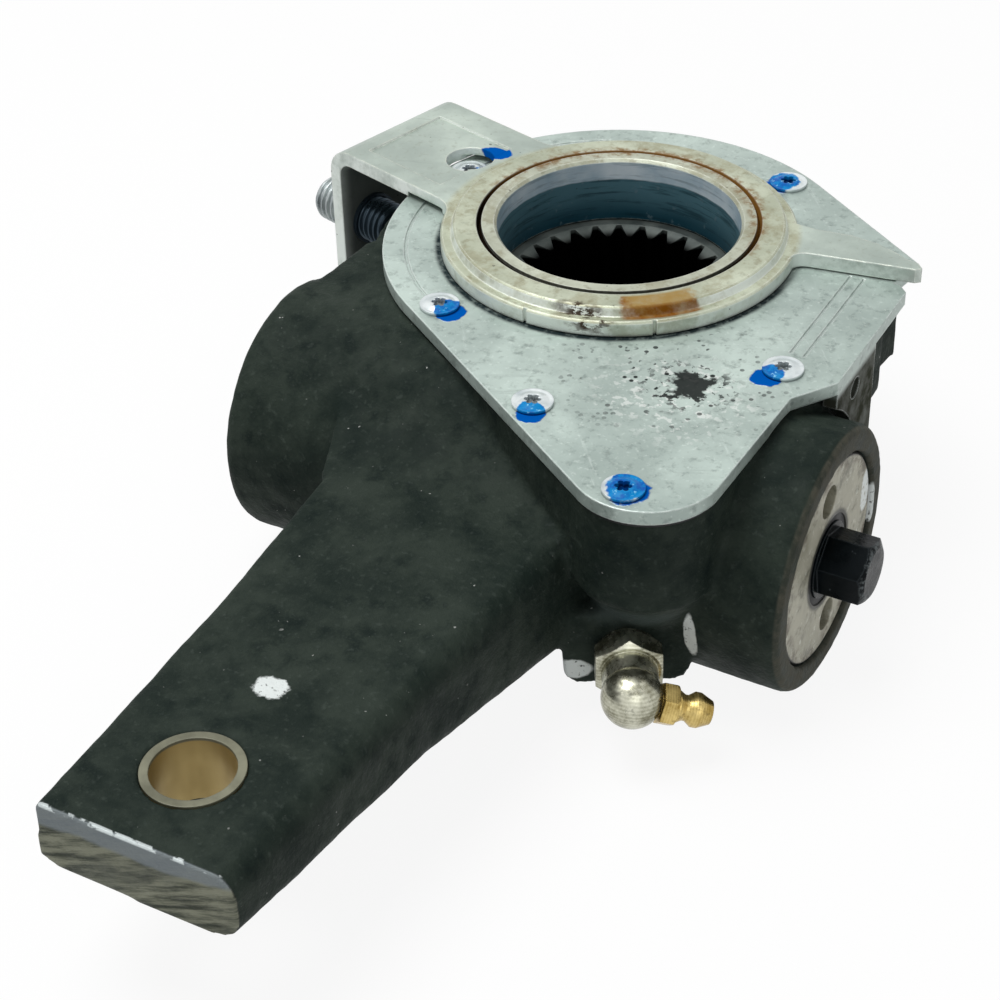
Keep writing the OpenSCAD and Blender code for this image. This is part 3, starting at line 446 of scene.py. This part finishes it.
def zinc_sleeve():
    """The control sleeve: a blue-grey bore with painted shade lower down and painted light near its top,
    painted highlights on its edges, and a stained rim.
    """
    s = Surface("zinc_sleeve", metallic=0.3, roughness=0.34)
    s.round_edges(0.4)
    _, y, z = s.axes()
    cloud = s.noise(60, 5, 0.6)
    grit = s.noise(380, 4, 0.7)
    lines = s.span(s.noise(90, 4, 0.65, s.stretched((1, 1, 12))), 0.5, 0.66)
    waves = s.noise(120, 3, 0.5, s.stretched((1, 1, 3)))
    height = s.calc("MULTIPLY_ADD", waves, 1.2 * MM, z)
    # Painted shade: the bore darkens lower down
    s.colour = s.mix(s.ramp(height, 20.5, 28.5), (14, 64, 80), (88, 128, 140))
    s.lay(lines, (14, 44, 54), 0.6)
    s.lay(s.span(s.noise(500, 3, 0.6), 0.6, 0.7), (120, 142, 150), 0.4)
    # Painted light: a bright band near the bore's top
    bright = s.mix(s.spread(cloud), (176, 204, 220), (232, 244, 250))
    bright = s.mix(s.every(lines, 0.5), bright, (122, 148, 158))
    s.lay(s.ramp(height, 30.0, 30.4), bright)
    rim = s.mix(s.spread(cloud), (160, 164, 146), (194, 199, 182))
    rim = s.mix(s.every(s.span(s.noise(130, 5, 0.7), 0.44, 0.6), 0.55), rim, (132, 128, 100))
    rim = s.mix(s.every(s.span(grit, 0.5, 0.7), 0.5), rim, (112, 106, 80))
    s.lay(s.ramp(z, 33.2, 33.5), rim)
    # Painted highlights along the rounded edges
    s.lay(s.every(s.edges(), s.span(grit, 0.35, 0.6, 0.1, 0.7)), (232, 236, 226))
    s.lay(s.span(s.noise(700, 2, 0.5), 0.75, 0.77), (52, 48, 40), 0.7)
    bleed = s.every(
        s.ramp(s.from_camshaft(), 24.5, 26.6), s.ramp(y, -8, 14), s.span(grit, 0.42, 0.62, 0.0, 0.8)
    )
    s.lay(bleed, (118, 84, 38))
    groove = sleeve_groove(s)
    s.bump(s.noise(300, 3, 0.6, s.stretched((1, 1, 8))), 0.02)
    metal = s.every(s.outside(groove, bleed), 0.3)
    return s.done(s.spread(cloud, 0.28, 0.44), metal, metal)


def plain_metal(name, dark, light, roughness, metallic):
    """Clouded metal for the pieces inside the case."""
    s = Surface(name, metallic=metallic, roughness=roughness)
    s.round_edges(0.3)
    cloud = s.noise(120, 5, 0.6)
    s.base(cloud, dark, light)
    s.bump(s.noise(900, 3, 0.6), 0.02)
    return s.done(s.spread(cloud, roughness * 0.8, roughness * 1.25))


def cover_disc():
    """The barrel's cover: dull and smudged, soiled towards its edge, with a white dab."""
    s = Surface("cover_disc", metallic=0.3, roughness=0.5)
    s.round_edges(0.4)
    far = s.from_worm()
    cloud = s.noise(90, 5, 0.65)
    s.base(cloud, (140, 138, 120), (176, 174, 158))
    s.lay(s.span(s.noise(160, 5, 0.75), 0.5, 0.66), (92, 92, 78), 0.7)
    s.lay(s.span(s.noise(420, 5, 0.75), 0.56, 0.66), (206, 208, 196), 0.6)
    soiled = s.every(s.ramp(far, 16.0, 19.2), s.span(s.noise(260, 5, 0.75), 0.44, 0.6))
    s.lay(soiled, (70, 58, 40), 0.8)
    # Painted shade in the gap round the disc's edge
    s.lay(s.ramp(far, 19.4, 19.9), (20, 21, 20))
    s.lay(s.ramp(far, 10.2, 9.2), (60, 60, 52))
    paint = s.spot((62.4, -23.0, 4.0), (2.0, 2.0, 4.6), 0.15, 0.5, 300)
    s.lay(s.every(paint, s.span(s.noise(900, 3, 0.6), 0.32, 0.48)), WHITE_PAINT)
    s.bump(s.noise(700, 3, 0.6), 0.05)
    return s.done(s.spread(cloud, 0.42, 0.6))


def screw_zinc():
    """The cover screws: bright zinc under uneven blue paint, with painted glints on the paint and painted
    shade in the recess.
    """
    s = Surface("screw_zinc", metallic=0.55, roughness=0.3)
    s.round_edges(0.25)
    s.base(s.noise(200, 4, 0.6), (180, 190, 192), (222, 228, 228))
    # Painted shade in the recess
    hollow = s.ramp(s.axes()[2], 29.45, 29.0)
    s.lay(hollow, (70, 78, 82), 0.6)
    paint = blue_paint(s)
    tint = s.mix(s.span(s.noise(420, 4, 0.7), 0.36, 0.6), BLUE, BLUE_LIGHT)
    # Painted glints on the blue paint
    tint = s.mix(s.every(s.span(s.noise(700, 4, 0.7), 0.6, 0.66), 0.7), tint, (150, 214, 238))
    # Painted shade in the recess, under the paint too
    tint = s.mix(hollow, tint, (0, 46, 104))
    s.lay(paint, tint)
    metal = s.every(s.outside(paint), 0.55)
    return s.done(None, metal, s.span(paint, 0.0, 1.0, 0.5, 0.1))


def bronze():
    """The clevis bush: bronze bore and a duller rim."""
    s = Surface("bronze", metallic=0.5, roughness=0.4)
    s.round_edges(0.3)
    cloud = s.noise(120, 5, 0.65)
    s.base(s.noise(60, 3, 0.5, s.stretched((2, 2, 0.4))), (136, 116, 66), (166, 146, 94))
    rim = s.ramp(s.axes()[2], 12.9, 13.2)
    s.lay(rim, s.mix(s.spread(cloud), (88, 88, 70), (116, 116, 96)))
    s.bump(s.noise(900, 3, 0.6), 0.02)
    return s.done(s.spread(cloud, 0.3, 0.5), s.span(rim, 0.0, 1.0, 0.6, 0.2))


def wheel_steel():
    """The worm wheel: grey hub, and a spline painted black as shade."""
    s = Surface("wheel_steel", metallic=0.4, roughness=0.5)
    s.round_edges(0.3)
    z = s.axes()[2]
    cloud = s.noise(160, 5, 0.65)
    s.base(cloud, (54, 60, 58), (86, 92, 88))
    # Painted shade: the inside of the spline is black
    spline = s.every(s.ramp(s.from_camshaft(), 22.4, 21.9), s.ramp(z, 19.7, 18.8), s.ramp(z, -13, -3))
    s.lay(spline, (3, 3, 3))
    s.bump(s.noise(900, 3, 0.6), 0.04)
    metal = s.every(s.outside(spline), 0.4)
    return s.done(s.spread(cloud, 0.42, 0.6), metal, metal)


def zinc_stud():
    """The anchor stud: bright outside the flange, dark behind it."""
    s = Surface("zinc_stud", metallic=0.7, roughness=0.32)
    cloud = s.noise(200, 5, 0.65)
    s.base(cloud, (132, 140, 142), (184, 190, 190))
    s.lay(s.ramp(s.from_camshaft(), 66.5, 65.5), (52, 66, 76))
    s.bump(s.noise(900, 3, 0.6), 0.02)
    return s.done(s.spread(cloud, 0.26, 0.4))


def seal_rubber():
    s = Surface("seal_rubber", roughness=0.6, specular=0.3)
    cloud = s.noise(200, 4, 0.6)
    s.base(cloud, (20, 21, 22), (36, 37, 38))
    s.bump(s.noise(1500, 2, 0.5), 0.03)
    return s.done(s.spread(cloud, 0.5, 0.7))


def black_steel():
    """The worm and its adjusting hexagon: black, with a worn end and chipped edges."""
    s = Surface("black_steel", roughness=0.3, specular=0.05)
    s.round_edges(0.4)
    cloud = s.noise(180, 4, 0.6)
    s.base(cloud, (2, 6, 8), (10, 16, 19))
    end = s.every(s.ramp(s.axes()[0], 70.2, 70.9), s.ramp(s.from_worm(), 3.0, 5.2, 0.25, 1.0))
    s.lay(s.every(end, s.span(s.noise(900, 4, 0.7), 0.46, 0.6)), (120, 127, 128), 0.5)
    chips = s.every(s.span(s.noise(500, 3, 0.6), 0.68, 0.72), 0.5)
    s.lay(s.either(chips, s.every(s.edges(), 0.25)), (84, 92, 96))
    s.bump(s.noise(900, 3, 0.6), 0.04)
    return s.done(s.spread(cloud, 0.2, 0.36))


def turned_metal(name, dark, light, along, pitch):
    """Plated metal with fine rings from the lathe across the given direction; pitch in millimetres."""
    s = Surface(name, metallic=0.9, roughness=0.27)
    s.round_edges(0.3)
    way = s.vector("DOT_PRODUCT", s.place, along)
    drift = s.calc("MULTIPLY_ADD", s.noise(150, 3, 0.6), 0.6 * pitch * MM, way)
    rings = s.calc("SINE", s.calc("MULTIPLY", drift, 2 * math.pi / (pitch * MM)))
    cloud = s.noise(220, 5, 0.7)
    shade = s.calc("MULTIPLY_ADD", rings, 0.035, cloud)
    s.colour = s.mix(s.span(shade, 0.28, 0.74), dark, light)
    s.lay(s.span(s.noise(320, 5, 0.75), 0.54, 0.66), [v * 0.5 for v in dark], 0.5)
    s.bump(rings, 0.004)
    return s.done(s.spread(cloud, 0.2, 0.36))


def dress(material, *names):
    """Gives the CAD nodes a material."""
    for name in names:
        mesh = nodes[name].data
        mesh.materials.clear()
        mesh.materials.append(material)


def add_piece(name, mesh, material, body, slot, *replaced):
    """Puts a new mesh in the scene, in place of the CAD nodes named last."""
    piece = bpy.data.objects.new(name, mesh)
    scene.collection.objects.link(piece)
    mesh.materials.clear()
    mesh.materials.append(material)
    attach(piece, body)
    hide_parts(*replaced)


# The casting: the CAD solid with rounded edges and an uneven cast skin, in millimetres
VOXEL = 0.7
SMOOTH_FACTOR = 0.5
SMOOTH_STEPS = 5
CAST_RELIEF = 0.16
COARSE_SCALE, FINE_SCALE = 90, 420
FINE_SHARE = 0.5

# Its machined faces and bores, which stay smooth
JOINT_FACE = 24.9
LEVER_END = -166.9
BARREL_FACE = 61.5
BARREL_BORE_R = 21.2
CASE_BORE_R = 38.5
CASE_BORE_REACH = 25
CLEVIS_SEAT_R = 9.5

# The box at the end of the rack's channel, and how far its walls draw back for the moving rack
CHANNEL_LOW = (30.5, 11, 9)
CHANNEL_HIGH = (43.5, 18.8, 24.5)
CHANNEL_ROOM = 0.8


def cast_mesh(node):
    """A copy of the node's mesh with rounded edges."""
    draft = bpy.data.objects.new("draft", nodes[node].data.copy())
    scene.collection.objects.link(draft)
    remesh = draft.modifiers.new("remesh", "REMESH")
    remesh.mode = "VOXEL"
    remesh.voxel_size = VOXEL * MM
    remesh.use_smooth_shade = True
    smooth = draft.modifiers.new("smooth", "SMOOTH")
    smooth.factor = SMOOTH_FACTOR
    smooth.iterations = SMOOTH_STEPS
    graph = bpy.context.evaluated_depsgraph_get()
    mesh = bpy.data.meshes.new_from_object(draft.evaluated_get(graph))
    bpy.data.objects.remove(draft)
    return mesh


def skin_relief(mesh):
    """Moves the points of the cast skin in and out; machined faces stay, the rack channel's end opens."""
    count = len(mesh.vertices)
    places = np.empty(count * 3, np.float32)
    normals = np.empty(count * 3, np.float32)
    mesh.vertices.foreach_get("co", places)
    mesh.vertex_normals.foreach_get("vector", normals)
    places = places.reshape(-1, 3)
    normals = normals.reshape(-1, 3)
    points = places / MM
    x, y, z = points.T
    machined = (z > JOINT_FACE) | (y < LEVER_END) | (x > BARREL_FACE)
    machined |= np.hypot(y - WORM_Y, z) < BARREL_BORE_R
    machined |= (np.hypot(x, y) < CASE_BORE_R) & (np.abs(z) < CASE_BORE_REACH)
    machined |= np.hypot(x, y - CLEVIS_Y) < CLEVIS_SEAT_R
    for k in np.flatnonzero(~machined):
        point = Vector(places[k])
        rise = noise.noise(point * COARSE_SCALE) + FINE_SHARE * noise.noise(point * FINE_SCALE)
        places[k] += normals[k] * rise * CAST_RELIEF * MM
    channel_end = np.all((points > CHANNEL_LOW) & (points < CHANNEL_HIGH), axis=1)
    places[channel_end] -= normals[channel_end] * CHANNEL_ROOM * MM
    mesh.vertices.foreach_set("co", places.ravel())
    mesh.update()


# The anchor stud with its thread, in millimetres along the arm's direction
STUD_TURN = math.radians(163.5)
STUD_BASE = 57.2
STUD_SIDE = 8.0
STUD_HEIGHT = 12.8
STUD_LENGTH = 21.3
STUD_R = 4.99
STUD_CHAMFER = 1
STUD_DOME = 2.4
STUD_DOME_END = 0.2
THREAD_PITCH = 1.5
THREAD_DEPTH = 0.75
THREAD_STEPS = 12
THREAD_SIDES = 48

# The groove's share of its depth: a floor at 1 and straight flanks
GROOVE_PEAK = 1.35
GROOVE_SLOPE = 3.4


def stud_radius(far):
    """The stud's plain radius at a distance from its base, with the chamfer and the domed end."""
    if far < STUD_CHAMFER:
        return STUD_R - STUD_CHAMFER + far
    past = far - (STUD_LENGTH - STUD_DOME)
    if past > 0:
        return STUD_R - STUD_DOME + math.sqrt(max(STUD_DOME ** 2 - past ** 2, STUD_DOME_END))
    return STUD_R


def stud_mesh():
    count = int(STUD_LENGTH / THREAD_PITCH * THREAD_STEPS)
    turn = Matrix.Rotation(STUD_TURN, 4, "Z")
    mesh = bmesh.new()
    rings = []
    for i in range(count + 1):
        far = STUD_LENGTH * i / count
        ring = []
        for j in range(THREAD_SIDES):
            angle = 2 * math.pi * j / THREAD_SIDES
            phase = (far / THREAD_PITCH - j / THREAD_SIDES) % 1
            groove = min(max(GROOVE_PEAK - abs(phase - 0.5) * GROOVE_SLOPE, 0), 1)
            radius = min(stud_radius(far), STUD_R - THREAD_DEPTH * groove)
            side = STUD_SIDE + radius * math.cos(angle)
            height = STUD_HEIGHT + radius * math.sin(angle)
            ring.append(mesh.verts.new(turn @ Vector((STUD_BASE + far, side, height)) * MM))
        rings.append(ring)
    for low, high in zip(rings, rings[1:]):
        for j in range(THREAD_SIDES):
            k = (j + 1) % THREAD_SIDES
            mesh.faces.new((low[j], low[k], high[k], high[j]))
    mesh.faces.new(reversed(rings[0]))
    mesh.faces.new(rings[-1])
    bmesh.ops.recalc_face_normals(mesh, faces=mesh.faces)
    result = bpy.data.meshes.new("anchor_stud_thread")
    mesh.to_mesh(result)
    mesh.free()
    result.shade_smooth()
    return result


# Materials of the CAD nodes
gear = plain_metal("gear_steel", (50, 52, 51), (82, 84, 80), 0.45, 0.6)
steel = plain_metal("bare_steel", (110, 114, 116), (160, 164, 166), 0.3, 0.9)
spring = plain_metal("spring_steel", (60, 64, 66), (96, 100, 102), 0.35, 0.85)
nickel = turned_metal("nickel", (112, 110, 88), (214, 214, 196), (0.02, 0.1, 1), 0.7)
brass = turned_metal("brass", (146, 120, 56), (220, 196, 128), (0.83, 0.48, -0.29), 0.5)
stud_zinc = zinc_stud()
dress(gear, "thrust_race", "pressure_plate", "spring_seat", "coupling_ring", "clutch_hub")
dress(gear, "adjusting_pinion", "rack")
dress(steel, "thrust_balls", "pinion_washer", "nipple_ball")
dress(spring, "main_spring", "clutch_spring", "rack_spring")
dress(seal_rubber(), "hub_seal", "worm_cover_seal", "shaft_seal", "control_seal", "cover_gasket")
dress(wheel_steel(), "worm_wheel")
dress(bronze(), "clevis_bush")
dress(black_steel(), "worm_shaft")
dress(cover_disc(), "worm_cover")
dress(zinc_sleeve(), "control_disc")
dress(zinc_arm(), "control_arm")
dress(stud_zinc, "anchor_washer")
dress(zinc_plate(), "cover_plate")
dress(screw_zinc(), "cover_screws")
dress(nickel, "grease_elbow")
dress(brass, "grease_nipple")

# Pieces in place of CAD nodes
housing = cast_mesh("housing")
skin_relief(housing)
add_piece("housing_casting", housing, casting(), "base", "casting", "housing")
add_piece("anchor_stud_thread", stud_mesh(), stud_zinc, "control", "stud_zinc", "anchor_stud")

# The rack's return spring, which shortens and stretches with the rack; here a fixed copy of its CAD mesh
coil = bpy.data.objects.new("rack_spring_coil", nodes["rack_spring"].data.copy())
scene.collection.objects.link(coil)
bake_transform(coil)
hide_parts("rack_spring")


# Camera, at the photograph's place
AZIMUTH, ELEVATION, ROLL = (math.radians(a) for a in (29.355, 37.046, -1.570))
TARGET = Vector((24.04, -92.80, 34.0)) * MM
DISTANCE = 376.06 * MM
FOCAL_PIXELS = 2303.54
CENTRE = (501.161, 507.724)
IMAGE = 1000
SENSOR = 36.0
CLIP_START = 0.01


def make_camera():
    back = Vector((
        math.sin(AZIMUTH) * math.cos(ELEVATION), -math.cos(AZIMUTH) * math.cos(ELEVATION), math.sin(ELEVATION)
    ))
    level = Vector((math.cos(AZIMUTH), math.sin(AZIMUTH), 0))
    upright = back.cross(level)
    right = math.cos(ROLL) * level + math.sin(ROLL) * upright
    up = math.cos(ROLL) * upright - math.sin(ROLL) * level
    lens = bpy.data.cameras.new("camera")
    lens.sensor_width = SENSOR
    lens.lens = SENSOR * FOCAL_PIXELS / IMAGE
    lens.shift_x = (IMAGE / 2 - CENTRE[0]) / IMAGE
    lens.shift_y = (CENTRE[1] - IMAGE / 2) / IMAGE
    lens.clip_start = CLIP_START
    camera = bpy.data.objects.new("camera", lens)
    turn = Matrix((right, up, back)).transposed().to_4x4()
    camera.matrix_world = Matrix.Translation(TARGET + back * DISTANCE) @ turn
    scene.collection.objects.link(camera)
    scene.camera = camera


# Floor, white surroundings and soft lamps, in metres
FLOOR_HALF = 6.0
FLOOR_GAP = 0.2 * MM
FLOOR_GREY = 0.86
FLOOR_GLOW = 0.9
WORLD_LIGHT = 0.3
LAMP_TARGET = Vector((0, -0.06, 0))


def seen_directly(tree):
    """Factor that is 1 for camera, glossy and transmission rays."""
    path = tree.nodes.new("ShaderNodeLightPath")
    total = path.outputs["Is Camera Ray"]
    for name in ("Is Glossy Ray", "Is Transmission Ray"):
        node = tree.nodes.new("ShaderNodeMath")
        node.operation = "MAXIMUM"
        tree.links.new(total, node.inputs[0])
        tree.links.new(path.outputs[name], node.inputs[1])
        total = node.outputs[0]
    return total


def blend_shaders(tree, factor, first, second, output):
    """Links a mix of two shaders to the tree's output."""
    blend = tree.nodes.new("ShaderNodeMixShader")
    for socket, source in zip(blend.inputs, (factor, first.outputs[0], second.outputs[0])):
        tree.links.new(source, socket)
    tree.links.new(blend.outputs[0], tree.nodes.new(output).inputs["Surface"])


def make_floor():
    half, low = FLOOR_HALF, cad_box[0].z - FLOOR_GAP
    corners = [(-half, -half, low), (half, -half, low), (half, half, low), (-half, half, low)]
    mesh = bpy.data.meshes.new("floor")
    mesh.from_pydata(corners, [], [(0, 1, 2, 3)])
    floor = bpy.data.objects.new("floor", mesh)
    scene.collection.objects.link(floor)
    material = bpy.data.materials.new("floor")
    material.use_nodes = True
    tree = material.node_tree
    tree.nodes.clear()
    matt = tree.nodes.new("ShaderNodeBsdfDiffuse")
    matt.inputs["Color"].default_value = (FLOOR_GREY, FLOOR_GREY, FLOOR_GREY, 1)
    glow = tree.nodes.new("ShaderNodeEmission")
    glow.inputs["Strength"].default_value = 1.0
    share = tree.nodes.new("ShaderNodeMath")
    share.operation = "MULTIPLY"
    share.inputs[1].default_value = FLOOR_GLOW
    tree.links.new(seen_directly(tree), share.inputs[0])
    blend_shaders(tree, share.outputs[0], matt, glow, "ShaderNodeOutputMaterial")
    mesh.materials.append(material)


def make_world():
    world = bpy.data.worlds.new("studio")
    scene.world = world
    world.use_nodes = True
    tree = world.node_tree
    tree.nodes.clear()
    backgrounds = []
    for strength in (WORLD_LIGHT, 1.0):
        node = tree.nodes.new("ShaderNodeBackground")
        node.inputs["Color"].default_value = (1, 1, 1, 1)
        node.inputs["Strength"].default_value = strength
        backgrounds.append(node)
    blend_shaders(tree, seen_directly(tree), *backgrounds, "ShaderNodeOutputWorld")


def make_lamp(name, place, size, power):
    data = bpy.data.lights.new(name, "AREA")
    data.shape = "DISK"
    data.size = size
    data.energy = power
    lamp = bpy.data.objects.new(name, data)
    lamp.location = place
    lamp.rotation_mode = "QUATERNION"
    lamp.rotation_quaternion = (LAMP_TARGET - Vector(place)).to_track_quat("-Z", "Y")
    scene.collection.objects.link(lamp)


make_camera()
make_floor()
make_world()
make_lamp("key", place=(-0.25, -0.15, 1.0), size=0.7, power=9.5)
make_lamp("fill", place=(0.7, -0.8, 0.7), size=0.8, power=2)
scene.view_settings.view_transform = "Standard"
